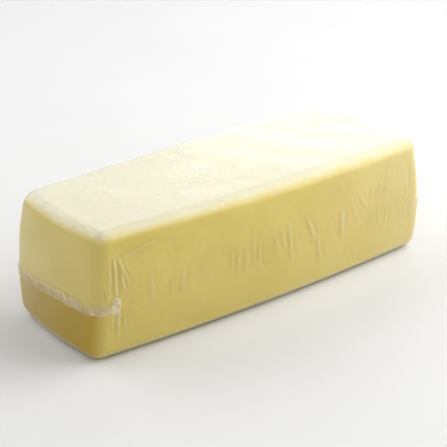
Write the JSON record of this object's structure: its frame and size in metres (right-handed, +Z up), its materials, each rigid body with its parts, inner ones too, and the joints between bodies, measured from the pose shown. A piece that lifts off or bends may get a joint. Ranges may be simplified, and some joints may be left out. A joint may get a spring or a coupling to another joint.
{
  "type": "cheese block",
  "caption": "Soft-edged rectangular loaf of semi-hard cheese, shrink-wrapped in clear film whose welded mouths lie folded flat against both ends, ears wrapped on to the long sides",
  "frame": {"origin": "centre of the part's footprint, on the surface it lies on", "axes": "+X along the loaf's length, towards the end whose seal is named rear_seal; +Y across its width; +Z up"},
  "size_m": [0.3044, 0.1202, 0.0918],
  "materials": {
    "cheese": "satin, pale butter yellow, finely pitted cheese",
    "clear_film": "clear glossy shrink film, thin",
    "film_weld": "milky, crinkled heat-welded film"
  },
  "bodies": {
    "root": {"cheese_block": "cheese", "shrink_film": "clear_film", "front_seal": "film_weld", "rear_seal": "film_weld"}
  },
  "joints": []
}
